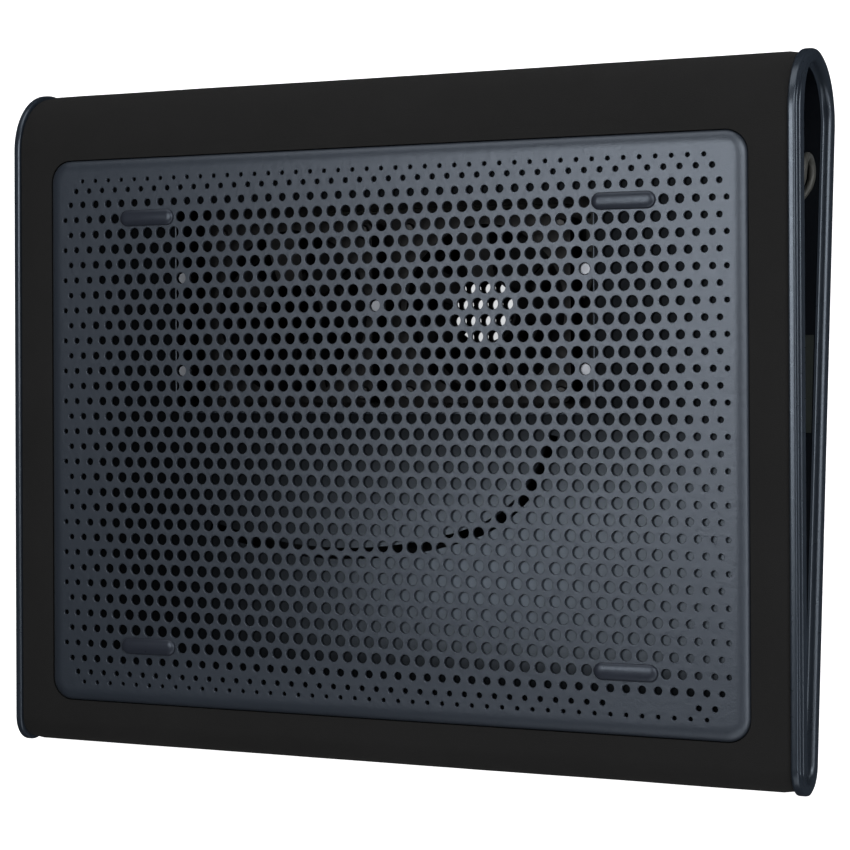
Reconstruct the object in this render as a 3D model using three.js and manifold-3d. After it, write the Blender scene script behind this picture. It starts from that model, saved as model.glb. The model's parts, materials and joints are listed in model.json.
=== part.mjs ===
// Laptop cooling pad: a wedge-shaped sleeve with open ends, a raised perforated tray on its
// sloping top and two fans in a tub below the tray. Millimetres, +X right, +Y to the thick rear
// edge, +Z up. The pad lies on z = 0 and the origin is the centre of its footprint.
import * as THREE from 'three';
import { mergeVertices } from 'three/addons/utils/BufferGeometryUtils.js';
import Module from 'manifold-3d';

const wasm = await Module();
wasm.setup();

// ---- driving dimensions ----------------------------------------------------------------------
const WIDTH = 380;            // over both end trims
const REAR_R = 28.2;          // outer radius of the rear roll
const FRONT_R = 12;           // outer radius of the front nose
const ROLL_SPAN = 266;        // distance between the centres of the two rolls
const GAP = 0.3;              // air left between pieces that touch

const TRIM_WIDTH = 4;         // end trim, along X
const TRIM_DEPTH = 7;         // end trim, from its outer face inwards
const SKIN_INSET = 1;         // the skin lies this far below the trim's outer face
const SKIN_THICK = 3;
const SHELL_THICK = 2.7;

const TRAY_LIFT = 0.6;        // the perforated face stands this far above the trims
const PLATE = { width: 337, depth: 250.4, centreV: 4, corner: 10, thick: 1.2, rim: 4.4 };
const RIM_SLOPE = { run: 4.5, drop: 2 };
const HOLE = { pitch: 7, radius: 2.6, field: 22 };
const FIELD = { width: 322, depth: 235, corner: 4, top: -2, wall: 3, window: 8 };

const STOP = { length: 28.3, width: 7.4, height: 1.7, u: 115.5, rearV: 101.5, frontV: -94.5 };

const FAN = { u: 47, v: 57, size: 80, thick: 14.3, top: -12.2, bore: 37.5, screw: 35.75 };
const ROTOR = { hubR: 15, hubHigh: 9.4, hubSink: 0.2, hubWall: 1.6, tipR: 36, blades: 7 };
const BLADE = { chord: 15, thick: 1.2, rootPitch: 34, tipPitch: 22, rootTaper: 0.72 };
const TUB = { halfWidth: 101.5, frontV: 12.6, rearV: 106.4, wall: 1.8, floor: -26.8, corner: 6 };
const TUB_SCREWS = [[-97.6, 73.5], [-97.6, 31.3], [97.6, 73.5], [97.6, 31.3], [0, 59.4]];
const POST_R = 3.5;
const POST_TOP = -4.3;
// A long shallow arc that turns up into a tighter one; angles in degrees.
const ARC_SLOT = {
  width: 5,
  shallow: { u: -19.5, v: 155.7, radius: 205, from: -108.3, to: -71.7 },
  tight: { u: 27.4, v: 14.5, radius: 56.2, from: -71.7, to: -11.2 },
};

const LEAD_D = 3.2;           // USB lead
const COIL = { x: 150, y: 103, radius: 17.5, base: 9 };
const PLUG = { x: 164, backY: 70, grip: 19, shell: 12, halfHigh: 4.2 };
const LABEL = { width: 30, depth: 41, thick: 0.4, x: 170.5, y: 16 };

// ---- derived places ----------------------------------------------------------------------------
const END_X = WIDTH / 2;
const INNER_END = END_X - TRIM_WIDTH - GAP;
const RADIUS_STEP = REAR_R - FRONT_R;
const SLOPE = 2 * Math.asin(RADIUS_STEP / ROLL_SPAN);
const BASE_SPAN = Math.sqrt(ROLL_SPAN ** 2 - RADIUS_STEP ** 2);
const HALF_DEPTH = (BASE_SPAN + REAR_R + FRONT_R) / 2;
const REAR_Y = HALF_DEPTH - REAR_R;
const FRONT_Y = FRONT_R - HALF_DEPTH;
const SHELL_OUT = SKIN_INSET + SKIN_THICK + GAP;
const SHELL_IN = SHELL_OUT + SHELL_THICK;
const SHELL_TOP = -TRAY_LIFT - SHELL_OUT;
const SHELL_UNDER = SHELL_TOP - SHELL_THICK;
const FLOOR_Z = SHELL_IN;     // inside floor of the sleeve

// The tray's own axes: u along X, v up the slope towards the rear, n out of the perforated face.
const TRAY_V_AT_REAR = 135.2; // v of the rear roll's centre
const tilt = { c: Math.cos(SLOPE), s: Math.sin(SLOPE) };
const TRAY_Y = REAR_Y - TRAY_V_AT_REAR * tilt.c - (REAR_R + TRAY_LIFT) * tilt.s;
const TRAY_Z = REAR_R - TRAY_V_AT_REAR * tilt.s + (REAR_R + TRAY_LIFT) * tilt.c;

const pad = new THREE.Group();
const tray = new THREE.Group();
tray.rotation.x = SLOPE;
tray.position.set(0, TRAY_Y, TRAY_Z);
pad.add(tray);

// ---- finishes ----------------------------------------------------------------------------------
const finish = (color, roughness, metalness = 0) =>
  new THREE.MeshStandardMaterial({ color, roughness, metalness });
const FINISHES = {
  tray: () => finish(0x41454f, 0.45, 0.3),
  stop: () => finish(0x2c303c, 0.6),
  skin: () => finish(0x1d1d1d, 0.95),
  trim: () => finish(0x2f363d, 0.25),
  shell: () => finish(0x101113, 0.6),
  fan: () => finish(0x0c0c0d, 0.5),
  mirror: () => finish(0xd8dadc, 0.12, 1),
  steel: () => finish(0xa9abad, 0.35, 1),
  copper: () => finish(0xa8603a, 0.4, 1),
  board: () => finish(0x1f4a2b, 0.5),
  label: () => finish(0x26271f, 0.5),
  lead: () => finish(0x161616, 0.5),
};

// ---- shape helpers -----------------------------------------------------------------------------
function toSolid(geometry) {
  const bare = geometry.index ? geometry.toNonIndexed() : geometry.clone();
  bare.deleteAttribute('normal');
  bare.deleteAttribute('uv');
  const merged = mergeVertices(bare, 1e-4);
  return new wasm.Manifold(new wasm.Mesh({
    numProp: 3,
    vertProperties: new Float32Array(merged.attributes.position.array),
    triVerts: new Uint32Array(merged.index.array),
  }));
}

function toGeometry(solid) {
  const mesh = solid.getMesh();
  const geometry = new THREE.BufferGeometry();
  geometry.setAttribute('position', new THREE.BufferAttribute(mesh.vertProperties, 3));
  geometry.setIndex(new THREE.BufferAttribute(mesh.triVerts, 1));
  return geometry;
}

function addPiece(name, shape, look, parent = pad) {
  const geometry = shape.isBufferGeometry ? shape : toGeometry(shape);
  geometry.computeVertexNormals();
  const piece = new THREE.Mesh(geometry, FINISHES[look]());
  piece.name = name;
  parent.add(piece);
  return piece;
}

const unite = (first, ...rest) => rest.reduce((whole, next) => whole.add(next), first);
const carve = (first, ...rest) => rest.reduce((whole, next) => whole.subtract(next), first);

function box(sizeX, sizeY, sizeZ, x, y, z) {
  return new THREE.BoxGeometry(sizeX, sizeY, sizeZ).translate(x, y, z);
}

// An upright prism or rod between two heights.
function rod(radius, low, high, x = 0, y = 0, sides = 12) {
  const cylinder = new THREE.CylinderGeometry(radius, radius, high - low, sides);
  return cylinder.rotateX(Math.PI / 2).translate(x, y, (low + high) / 2);
}

// A turned solid about Z. Its profile lists [radius, height] from bottom to top.
function turned(profile, segments = 24) {
  const points = profile.map(([radius, height]) => new THREE.Vector2(radius, height));
  return new THREE.LatheGeometry(points, segments).rotateX(Math.PI / 2);
}

function roundedRect(width, depth, corner, x = 0, y = 0) {
  const w = width / 2 - corner;
  const d = depth / 2 - corner;
  const shape = new THREE.Shape();
  shape.absarc(x + w, y + d, corner, 0, Math.PI / 2);
  shape.absarc(x - w, y + d, corner, Math.PI / 2, Math.PI);
  shape.absarc(x - w, y - d, corner, Math.PI, 1.5 * Math.PI);
  shape.absarc(x + w, y - d, corner, 1.5 * Math.PI, 2 * Math.PI);
  return shape;
}

function upright(shape, low, high, curveSegments = 3) {
  const options = { depth: high - low, bevelEnabled: false, curveSegments };
  return new THREE.ExtrudeGeometry(shape, options).translate(0, 0, low);
}

// The sleeve's outline in the YZ plane, drawn a given distance inside the trim's outer face.
function sleevePoints(inset) {
  const points = [];
  const arc = (centreY, radius, from, to, steps) => {
    for (let i = 0; i <= steps; i += 1) {
      const angle = from + ((to - from) * i) / steps;
      const reach = radius - inset;
      points.push(new THREE.Vector2(centreY + reach * Math.cos(angle), radius + reach * Math.sin(angle)));
    }
  };
  arc(REAR_Y, REAR_R, -Math.PI / 2, Math.PI / 2 + SLOPE, 18);
  arc(FRONT_Y, FRONT_R, Math.PI / 2 + SLOPE, 1.5 * Math.PI, 12);
  return points;
}

// A ring or slab of the sleeve between two insets, from one X to another.
function sleeve(outside, inside, fromX, toX) {
  const shape = new THREE.Shape(sleevePoints(outside));
  if (inside !== null) shape.holes.push(new THREE.Path(sleevePoints(inside)));
  const slab = new THREE.ExtrudeGeometry(shape, { depth: toX - fromX, bevelEnabled: false });
  slab.translate(0, 0, fromX);
  const axes = new THREE.Matrix4().makeBasis(
    new THREE.Vector3(0, 1, 0), new THREE.Vector3(0, 0, 1), new THREE.Vector3(1, 0, 0));
  return slab.applyMatrix4(axes);
}

// Moves a shape that is drawn in the tray's axes into the pad's axes.
function fromTray(geometry) {
  return geometry.rotateX(SLOPE).translate(0, TRAY_Y, TRAY_Z);
}

function cable(points, diameter, steps, look, name, parent = pad) {
  const route = new THREE.CatmullRomCurve3(points.map((p) => new THREE.Vector3(...p)));
  const section = new THREE.Shape();
  section.absarc(0, 0, diameter / 2, 0, 2 * Math.PI);
  const options = { steps, extrudePath: route, bevelEnabled: false, curveSegments: 4 };
  const tube = new THREE.ExtrudeGeometry(section, options);
  return addPiece(name, toSolid(tube), look, parent);
}

// ---- sleeve ------------------------------------------------------------------------------------
function buildSkin() {
  const ring = toSolid(sleeve(SKIN_INSET, SKIN_INSET + SKIN_THICK, -INNER_END, INNER_END));
  const clearance = 0.4;
  const opening = roundedRect(PLATE.width + 2 * clearance, PLATE.depth + 2 * clearance,
    PLATE.corner, 0, PLATE.centreV);
  return carve(ring, toSolid(fromTray(upright(opening, SHELL_TOP, 4))));
}

// The two hard shells meet on the plane that halves the wedge.
function buildShell(upper) {
  const ring = toSolid(sleeve(SHELL_OUT, SHELL_IN, -INNER_END, INNER_END));
  const half = new THREE.BoxGeometry(2 * WIDTH, 6 * HALF_DEPTH, 200);
  half.translate(0, 0, upper ? 100 + GAP / 2 : -100 - GAP / 2);
  half.rotateX(SLOPE / 2).translate(0, REAR_Y, REAR_R);
  return ring.intersect(toSolid(half));
}

function arcSlot() {
  const slot = new THREE.Shape();
  const edge = ({ u, v, radius, from, to }, offset, backwards) => {
    const [start, end] = (backwards ? [to, from] : [from, to]).map(THREE.MathUtils.degToRad);
    slot.absarc(u, v, radius + offset, start, end, backwards);
  };
  const { width, shallow, tight } = ARC_SLOT;
  edge(shallow, width / 2, false);
  edge(tight, width / 2, false);
  edge(tight, -width / 2, true);
  edge(shallow, -width / 2, true);
  return upright(slot, SHELL_UNDER - 3, 0, 8);
}

const tubDepth = TUB.rearV - TUB.frontV;
const tubV = (TUB.rearV + TUB.frontV) / 2;

function tubOutline(grow) {
  return roundedRect(2 * (TUB.halfWidth + grow), tubDepth + 2 * grow, TUB.corner + grow, 0, tubV);
}

// The shell's face is raised under the tray, so that the tray's holes look down on it from close by.
function raisedField() {
  const { width, depth, corner, top, wall, window } = FIELD;
  const face = roundedRect(width, depth, corner, 0, PLATE.centreV);
  const under = roundedRect(width - 2 * wall, depth - 2 * wall, corner, 0, PLATE.centreV);
  const hollow = toSolid(fromTray(upright(under, SHELL_UNDER - 3, top - SHELL_THICK)));
  const around = toSolid(fromTray(upright(tubOutline(window), SHELL_UNDER - 4, top, 3)));
  return [toSolid(fromTray(upright(face, SHELL_TOP - 1, top))), hollow.subtract(around)];
}

function buildTopShell() {
  const [face, hollow] = raisedField();
  const fanWindow = fromTray(upright(tubOutline(0), SHELL_UNDER - 3, 0, 3));
  const shell = unite(buildShell(true), face);
  return carve(shell, hollow, toSolid(fanWindow), toSolid(fromTray(arcSlot())));
}

addPiece('neoprene_skin', buildSkin(), 'skin');
addPiece('top_shell', buildTopShell(), 'shell');
addPiece('bottom_shell', buildShell(false), 'shell');
addPiece('side_trim_left', toSolid(sleeve(0, TRIM_DEPTH, -END_X, -END_X + TRIM_WIDTH)), 'trim');
addPiece('side_trim_right', toSolid(sleeve(0, TRIM_DEPTH, END_X - TRIM_WIDTH, END_X)), 'trim');

// ---- perforated tray and laptop stops -------------------------------------------------------------
// The whole face is perforated on the real pad. Here the holes over the two fans are cut.
function holeCentres() {
  const centres = [];
  const rows = Math.floor(PLATE.depth / HOLE.pitch / 2);
  const columns = Math.floor(PLATE.width / HOLE.pitch / 2);
  for (let row = -rows; row <= rows; row += 1) {
    for (let column = -columns; column <= columns; column += 1) {
      const u = (column + (row % 2 ? 0.5 : 0)) * HOLE.pitch;
      const v = (row + 0.5) * HOLE.pitch;
      if (Math.hypot(Math.abs(u) - FAN.u, v - FAN.v) < HOLE.field) centres.push([u, v]);
    }
  }
  return centres;
}

function buildPlate() {
  const { width, depth, centreV, corner, thick, rim } = PLATE;
  const face = roundedRect(width - 2 * RIM_SLOPE.run, depth - 2 * RIM_SLOPE.run,
    corner - RIM_SLOPE.run, 0, centreV);
  const dish = new THREE.ExtrudeGeometry(face, {
    depth: rim - RIM_SLOPE.drop, bevelEnabled: true, bevelThickness: RIM_SLOPE.drop,
    bevelSize: RIM_SLOPE.run, bevelSegments: 1, curveSegments: 4,
  });
  dish.translate(0, 0, -rim);
  const above = toSolid(box(2 * width, 2 * depth, rim, 0, 0, -rim / 2));
  const margin = RIM_SLOPE.run + 2;
  const pocket = roundedRect(width - 2 * margin, depth - 2 * margin, 4, 0, centreV);
  let plate = toSolid(dish).intersect(above).subtract(toSolid(upright(pocket, -9, -thick, 3)));
  const holes = holeCentres().map(([u, v]) => rod(HOLE.radius, -thick - 1, 1, u, v, 6));
  plate = carve(plate, ...holes.map(toSolid));
  return plate;
}

addPiece('perforated_plate', buildPlate(), 'tray', tray);

for (const [end, v] of [['rear', STOP.rearV], ['front', STOP.frontV]]) {
  for (const [side, sign] of [['left', -1], ['right', 1]]) {
    const pill = roundedRect(STOP.length, STOP.width, STOP.width / 2 - 0.01, sign * STOP.u, v);
    addPiece(`stop_bar_${end}_${side}`, toSolid(upright(pill, GAP, GAP + STOP.height)), 'stop', tray);
  }
}

// ---- fan tub ------------------------------------------------------------------------------------
const SCREW_BORE = { radius: 1.7, depth: 12 };
const RIB = { width: 2, top: POST_TOP - 4 };

function screwPost(u, v, low) {
  const bore = rod(SCREW_BORE.radius, POST_TOP - SCREW_BORE.depth, POST_TOP + 1, u, v, 6);
  return [toSolid(rod(POST_R, low, POST_TOP, u, v, 10)), toSolid(bore)];
}

// The walls, with the four outer screw posts ribbed to them.
function buildTub() {
  const low = TUB.floor + GAP;
  const top = SHELL_UNDER - GAP;
  let tub = toSolid(upright(tubOutline(TUB.wall), low, top, 3));
  tub = carve(tub, toSolid(upright(tubOutline(0), low - 1, top + 1, 3)));
  for (const [u, v] of TUB_SCREWS.filter(([across]) => across !== 0)) {
    const [post, bore] = screwPost(u, v, low);
    const ribLong = TUB.halfWidth + TUB.wall / 2 - Math.abs(u);
    const ribU = Math.sign(u) * (Math.abs(u) + ribLong / 2);
    const rib = toSolid(box(ribLong, RIB.width, RIB.top - low, ribU, v, (RIB.top + low) / 2));
    tub = unite(tub, post, rib).subtract(bore);
  }
  return tub;
}

// The floor under the fans, with their intake grilles and the middle screw post.
function buildIntakeFloor() {
  const under = TUB.floor - TUB.wall;
  let plate = toSolid(upright(tubOutline(TUB.wall), under, TUB.floor, 3));
  const spokeLength = 2 * FAN.bore + 2;
  for (const side of [-1, 1]) {
    const u = side * FAN.u;
    plate = plate.subtract(toSolid(rod(FAN.bore - 1.5, under - 1, TUB.floor + 1, u, FAN.v, 20)));
    const ring = turned([[19, under], [21, under], [21, TUB.floor], [19, TUB.floor], [19, under]], 12);
    const middle = TUB.floor - TUB.wall / 2;
    plate = unite(plate,
      toSolid(ring.translate(u, FAN.v, 0)),
      toSolid(box(spokeLength, 2, TUB.wall, u, FAN.v, middle)),
      toSolid(box(2, spokeLength, TUB.wall, u, FAN.v, middle)));
    for (const [du, dv] of fanCorners()) {
      const passage = rod(1.9, under - 1, TUB.floor + 1, u + du, FAN.v + dv, 6);
      plate = plate.subtract(toSolid(passage));
    }
  }
  const [u, v] = TUB_SCREWS.find(([across]) => across === 0);
  const [post, bore] = screwPost(u, v, TUB.floor - 0.5);
  return plate.add(post).subtract(bore);
}

function fanCorners() {
  const s = FAN.screw;
  return [[-s, -s], [s, -s], [s, s], [-s, s]];
}

function screw(headR, headHigh, shankR, shankLong, seat) {
  return turned([
    [0, seat - shankLong], [shankR, seat - shankLong], [shankR, seat],
    [headR, seat], [headR * 0.8, seat + headHigh], [0, seat + headHigh],
  ], 8);
}

addPiece('fan_tub', buildTub(), 'shell', tray);
addPiece('intake_floor', buildIntakeFloor(), 'shell', tray);
TUB_SCREWS.forEach(([u, v], index) => {
  const piece = screw(3, 2.2, 1.2, 10, POST_TOP + GAP).translate(u, v, 0);
  addPiece(`tub_screw_${index + 1}`, toSolid(piece), 'steel', tray);
});

// ---- fans ---------------------------------------------------------------------------------------
const fanBottom = FAN.top - FAN.thick;
const MOTOR_BASE = { radius: 16, thick: 1.6 };

function buildFanFrame() {
  let frame = toSolid(upright(roundedRect(FAN.size, FAN.size, 4), fanBottom + GAP, FAN.top, 2));
  frame = carve(frame, toSolid(rod(FAN.bore, fanBottom - 1, FAN.top + 1, 0, 0, 28)));
  const baseTop = fanBottom + GAP + MOTOR_BASE.thick;
  frame = frame.add(toSolid(rod(MOTOR_BASE.radius, fanBottom + GAP, baseTop, 0, 0, 20)));
  const middle = fanBottom + GAP + MOTOR_BASE.thick / 2;
  for (let arm = 0; arm < 3; arm += 1) {
    const strut = box(26, 3, MOTOR_BASE.thick, 26, 0, middle);
    frame = frame.add(toSolid(strut.rotateZ(Math.PI / 4 + (arm * 2 * Math.PI) / 3)));
  }
  for (const [u, v] of fanCorners()) {
    frame = frame.subtract(toSolid(rod(2.2, fanBottom - 1, FAN.top + 1, u, v, 6)));
  }
  return frame;
}

const HUB_TOP = FAN.top - ROTOR.hubSink;
const HUB_BOTTOM = HUB_TOP - ROTOR.hubHigh;

// A blade along X, pitched less and made broader towards its tip.
function buildVane(length) {
  const vane = new THREE.BoxGeometry(length, BLADE.chord, BLADE.thick, 4, 1, 1);
  const position = vane.attributes.position;
  for (let i = 0; i < position.count; i += 1) {
    const along = position.getX(i) / length + 0.5;
    const degrees = THREE.MathUtils.lerp(BLADE.rootPitch, BLADE.tipPitch, along);
    const pitch = THREE.MathUtils.degToRad(degrees);
    const chord = position.getY(i) * THREE.MathUtils.lerp(BLADE.rootTaper, 1, along);
    const flat = position.getZ(i);
    position.setY(i, chord * Math.cos(pitch) - flat * Math.sin(pitch));
    position.setZ(i, chord * Math.sin(pitch) + flat * Math.cos(pitch));
  }
  return vane;
}

function buildRotor() {
  const wall = ROTOR.hubWall;
  const cup = turned([
    [0, HUB_TOP - wall], [ROTOR.hubR - wall, HUB_TOP - wall], [ROTOR.hubR - wall, HUB_BOTTOM],
    [ROTOR.hubR, HUB_BOTTOM], [ROTOR.hubR, HUB_TOP - 0.6], [ROTOR.hubR - 0.6, HUB_TOP], [0, HUB_TOP],
  ], 20);
  let rotor = toSolid(cup);
  const bladeLength = ROTOR.tipR - ROTOR.hubR + 1.2;
  const middle = (HUB_TOP + HUB_BOTTOM) / 2 + 0.4;
  for (let index = 0; index < ROTOR.blades; index += 1) {
    const vane = buildVane(bladeLength).translate(ROTOR.hubR - 0.8 + bladeLength / 2, 0, middle);
    rotor = rotor.add(toSolid(vane.rotateZ((index * 2 * Math.PI) / ROTOR.blades)));
  }
  const tipLimit = rod(ROTOR.tipR, HUB_BOTTOM, HUB_TOP, 0, 0, 32);
  return rotor.intersect(toSolid(tipLimit));
}

function buildStator() {
  const low = fanBottom + GAP + MOTOR_BASE.thick + GAP;
  const high = HUB_TOP - ROTOR.hubWall - 0.5;
  return turned([[1.8, low], [11, low], [11, high], [1.8, high], [1.8, low]], 16);
}

for (const [side, sign] of [['left', -1], ['right', 1]]) {
  const place = new THREE.Group();
  place.position.set(sign * FAN.u, FAN.v, 0);
  tray.add(place);
  addPiece(`fan_frame_${side}`, buildFanFrame(), 'fan', place);
  addPiece(`fan_rotor_${side}`, buildRotor(), 'fan', place);
  addPiece(`fan_stator_${side}`, toSolid(buildStator()), 'copper', place);
  const shaftTop = HUB_TOP - ROTOR.hubWall - GAP;
  addPiece(`fan_shaft_${side}`, toSolid(rod(1.5, fanBottom + 2.4, shaftTop)), 'steel', place);
  addPiece(`hub_label_${side}`, toSolid(rod(14, HUB_TOP + GAP, HUB_TOP + 0.6, 0, 0, 24)), 'mirror', place);
  fanCorners().forEach(([u, v], index) => {
    const piece = screw(3.2, 1.3, 1.5, 13, FAN.top + GAP).translate(u, v, 0);
    addPiece(`fan_screw_${side}_${index + 1}`, toSolid(piece), 'steel', place);
  });
}

// ---- wiring inside the tub -----------------------------------------------------------------------
const BOARD = { width: 10, depth: 20, thick: 1.6, u: 94.5, v: 92 };
const boardLow = TUB.floor + GAP;
addPiece('terminal_board', toSolid(box(BOARD.width, BOARD.depth, BOARD.thick,
  BOARD.u, BOARD.v, boardLow + BOARD.thick / 2)), 'board', tray);

const WIRE_D = 2;
const wireN = boardLow + BOARD.thick + WIRE_D / 2 + GAP;
cable([
  [-44, 98.5, wireN], [-40, 101, wireN], [0, 102, wireN], [60, 102, wireN], [84, 101, wireN],
  [91, 97, wireN],
], WIRE_D, 20, 'lead', 'fan_wire_left', tray);
cable([
  [88.5, 62, wireN], [91, 66, wireN], [93, 74, wireN], [93.5, 84, wireN], [93.5, 90, wireN],
], WIRE_D, 10, 'lead', 'fan_wire_right', tray);

// ---- USB lead, stowed inside the right end of the sleeve -----------------------------------------
const RELIEF = { v: 88, n: -20, long: 14 };
const reliefX = TUB.halfWidth + TUB.wall + GAP;
const reliefShape = turned([[0, 0], [4.5, 0], [4.5, 2], [2.6, RELIEF.long], [0, RELIEF.long]], 12);
reliefShape.rotateY(Math.PI / 2).translate(reliefX, RELIEF.v, RELIEF.n);
addPiece('strain_relief', toSolid(reliefShape), 'lead', tray);

const trayPoint = (v, n) => [TRAY_Y + v * tilt.c - n * tilt.s, TRAY_Z + v * tilt.s + n * tilt.c];
const [exitY, exitZ] = trayPoint(RELIEF.v, RELIEF.n);
const exitX = reliefX + RELIEF.long + GAP;
const restZ = FLOOR_Z + LEAD_D / 2 + GAP;
const coilHeight = 2 * LEAD_D + 0.4;
const coilHalf = LEAD_D + 0.2;

const coilSection = [
  [COIL.radius - coilHalf, COIL.base], [COIL.radius + coilHalf, COIL.base],
  [COIL.radius + coilHalf, COIL.base + coilHeight], [COIL.radius - coilHalf, COIL.base + coilHeight],
  [COIL.radius - coilHalf, COIL.base],
];
const coil = turned(coilSection, 24).translate(COIL.x, COIL.y, 0);
addPiece('usb_lead_coil', toSolid(coil), 'lead');

// Out of the relief and down to the coil's near side.
cable([
  [exitX, exitY, exitZ], [exitX + 5, exitY, exitZ - 0.6], [exitX + 10, exitY + 0.3, exitZ - 3.6],
  [exitX + 14.6, exitY + 1.1, exitZ - 8.4], [exitX + 19, exitY + 2.3, exitZ - 13.4],
  [exitX + 23, exitY + 3.3, exitZ - 16.6], [exitX + 26, exitY + 3.8, exitZ - 17.8],
], LEAD_D, 22, 'lead', 'usb_lead_inner');

// From the coil to an upright bight at the open end, and back over itself to the plug.
const BIGHT = { x: 183.3, y: 104.5, radius: 6.6 };
const bightTop = restZ + 2 * BIGHT.radius;
cable([
  [158, 81.4, restZ + 1], [164, 84, restZ + 0.3], [170.5, 87.6, restZ], [176.5, 92.2, restZ],
  [180.8, 97.2, restZ], [182.8, 101.2, restZ], [BIGHT.x, BIGHT.y, restZ],
  [BIGHT.x, BIGHT.y + BIGHT.radius * 0.707, restZ + BIGHT.radius * 0.293],
  [BIGHT.x, BIGHT.y + BIGHT.radius, restZ + BIGHT.radius],
  [BIGHT.x, BIGHT.y + BIGHT.radius * 0.707, restZ + BIGHT.radius * 1.707],
  [BIGHT.x, BIGHT.y, bightTop], [182.6, 99, bightTop - 0.1], [180, 93.8, bightTop - 0.9],
  [175.6, 89.4, bightTop - 2.7], [170.6, 85.6, bightTop - 5.1], [166.6, 81.6, bightTop - 7.5],
  [164.4, 76.8, bightTop - 9.7], [PLUG.x, PLUG.backY + GAP, restZ + 2.6],
], LEAD_D, 52, 'lead', 'usb_lead_tail');

const plugMiddle = FLOOR_Z + GAP + PLUG.halfHigh;
const gripBevel = 1;
const grip = new THREE.ExtrudeGeometry(roundedRect(16, 2 * PLUG.halfHigh, 2), {
  depth: PLUG.grip - 2 * gripBevel, bevelEnabled: true, bevelThickness: gripBevel,
  bevelSize: -gripBevel, bevelOffset: 0, bevelSegments: 1, curveSegments: 3,
});
grip.rotateX(Math.PI / 2).translate(PLUG.x, PLUG.backY - gripBevel, plugMiddle);
addPiece('usb_plug_grip', toSolid(grip), 'lead');
const shellY = PLUG.backY - PLUG.grip - GAP - PLUG.shell / 2;
addPiece('usb_plug_shell', toSolid(box(12, PLUG.shell, 4.5, PLUG.x, shellY, plugMiddle)), 'steel');

const tieOuter = roundedRect(2 * coilHalf + 4, coilHeight + 3, 1);
tieOuter.holes.push(roundedRect(2 * coilHalf + 1, coilHeight + 1, 0.6));
const tie = new THREE.ExtrudeGeometry(tieOuter, { depth: 4, bevelEnabled: false, curveSegments: 2 });
tie.rotateX(Math.PI / 2).translate(COIL.x + COIL.radius, COIL.y + 2, COIL.base + coilHeight / 2);
tie.translate(-COIL.x, -COIL.y, 0).rotateZ(Math.PI * 0.75).translate(COIL.x, COIL.y, 0);
addPiece('cable_tie', toSolid(tie), 'lead');

// ---- blank rating label on the inside floor ------------------------------------------------------
const labelZ = FLOOR_Z + GAP + LABEL.thick / 2;
addPiece('rating_label',
  toSolid(box(LABEL.width, LABEL.depth, LABEL.thick, LABEL.x, LABEL.y, labelZ)), 'label');

export default pad;
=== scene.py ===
"""Laptop cooling pad: the visible surfaces of a wedge-shaped sleeve with a perforated tray,
two fans behind it and a stowed USB lead. Metres, +X right, +Y to the thick rear edge, +Z up."""
import json
import math

import bmesh
import bpy
from mathutils import Matrix, Vector, noise
from mathutils.geometry import delaunay_2d_cdt


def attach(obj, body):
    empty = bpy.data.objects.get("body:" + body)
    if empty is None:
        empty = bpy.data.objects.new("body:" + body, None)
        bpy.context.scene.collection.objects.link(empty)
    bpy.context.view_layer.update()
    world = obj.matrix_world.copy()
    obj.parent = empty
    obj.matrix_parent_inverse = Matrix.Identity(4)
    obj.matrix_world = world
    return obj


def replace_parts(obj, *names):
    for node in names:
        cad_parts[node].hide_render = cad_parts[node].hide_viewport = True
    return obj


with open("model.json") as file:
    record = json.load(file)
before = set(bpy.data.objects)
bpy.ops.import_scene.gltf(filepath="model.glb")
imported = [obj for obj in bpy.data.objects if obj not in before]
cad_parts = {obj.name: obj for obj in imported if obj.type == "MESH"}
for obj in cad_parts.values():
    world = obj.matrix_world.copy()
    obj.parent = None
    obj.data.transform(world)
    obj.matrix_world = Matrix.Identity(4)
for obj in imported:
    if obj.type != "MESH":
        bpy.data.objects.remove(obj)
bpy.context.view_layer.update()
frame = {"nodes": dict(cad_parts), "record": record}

MM = 0.001
record = frame["record"]

# ---- driving dimensions, in millimetres ----------------------------------------------------------
END_X = 190.0
TRIM_WIDTH = 4.0
TRIM_DEPTH = 7.0
REAR_R = 28.2
FRONT_R = 12.0
ROLL_SPAN = 266.0
GAP = 0.3
SKIN_INSET = 1.0
SKIN_THICK = 3.0
TRAY_LIFT = 0.6
TRAY_V_AT_REAR = 135.2
PLATE_WIDTH = 337.0
PLATE_DEPTH = 250.4
PLATE_CENTRE_V = 4.0
PLATE_CORNER = 10.0
PLATE_THICK = 1.2
RIM_RUN = 6.0
RIM_DROP = 3.0
RIM_FOOT = 4.2
PITCH = 7.0
GRID_CENTRE_V = 3.5
STOP_HALF_U, STOP_HALF_V = 14.15, 3.7
STOP_U, STOP_REAR_V, STOP_FRONT_V = 115.5, 101.5, -94.5
TUB_HALF_U, TUB_WALL = 101.5, 1.8
TUB_FRONT_V, TUB_REAR_V, TUB_CORNER = 12.6, 106.4, 6.0
LEAD_D = 3.2

SLOPE = 2 * math.asin((REAR_R - FRONT_R) / ROLL_SPAN)
BASE_SPAN = math.sqrt(ROLL_SPAN ** 2 - (REAR_R - FRONT_R) ** 2)
HALF_DEPTH = (BASE_SPAN + REAR_R + FRONT_R) / 2
REAR_Y = HALF_DEPTH - REAR_R
FRONT_Y = FRONT_R - HALF_DEPTH
COS, SIN = math.cos(SLOPE), math.sin(SLOPE)
TRAY_Y = REAR_Y - TRAY_V_AT_REAR * COS - (REAR_R + TRAY_LIFT) * SIN
TRAY_Z = REAR_R - TRAY_V_AT_REAR * SIN + (REAR_R + TRAY_LIFT) * COS


def tray_point(u, v, n):
    """A point in the tray's own axes (millimetres) as a point of the pad, in metres."""
    return Vector((u, TRAY_Y + v * COS - n * SIN, TRAY_Z + v * SIN + n * COS)) * MM


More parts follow.
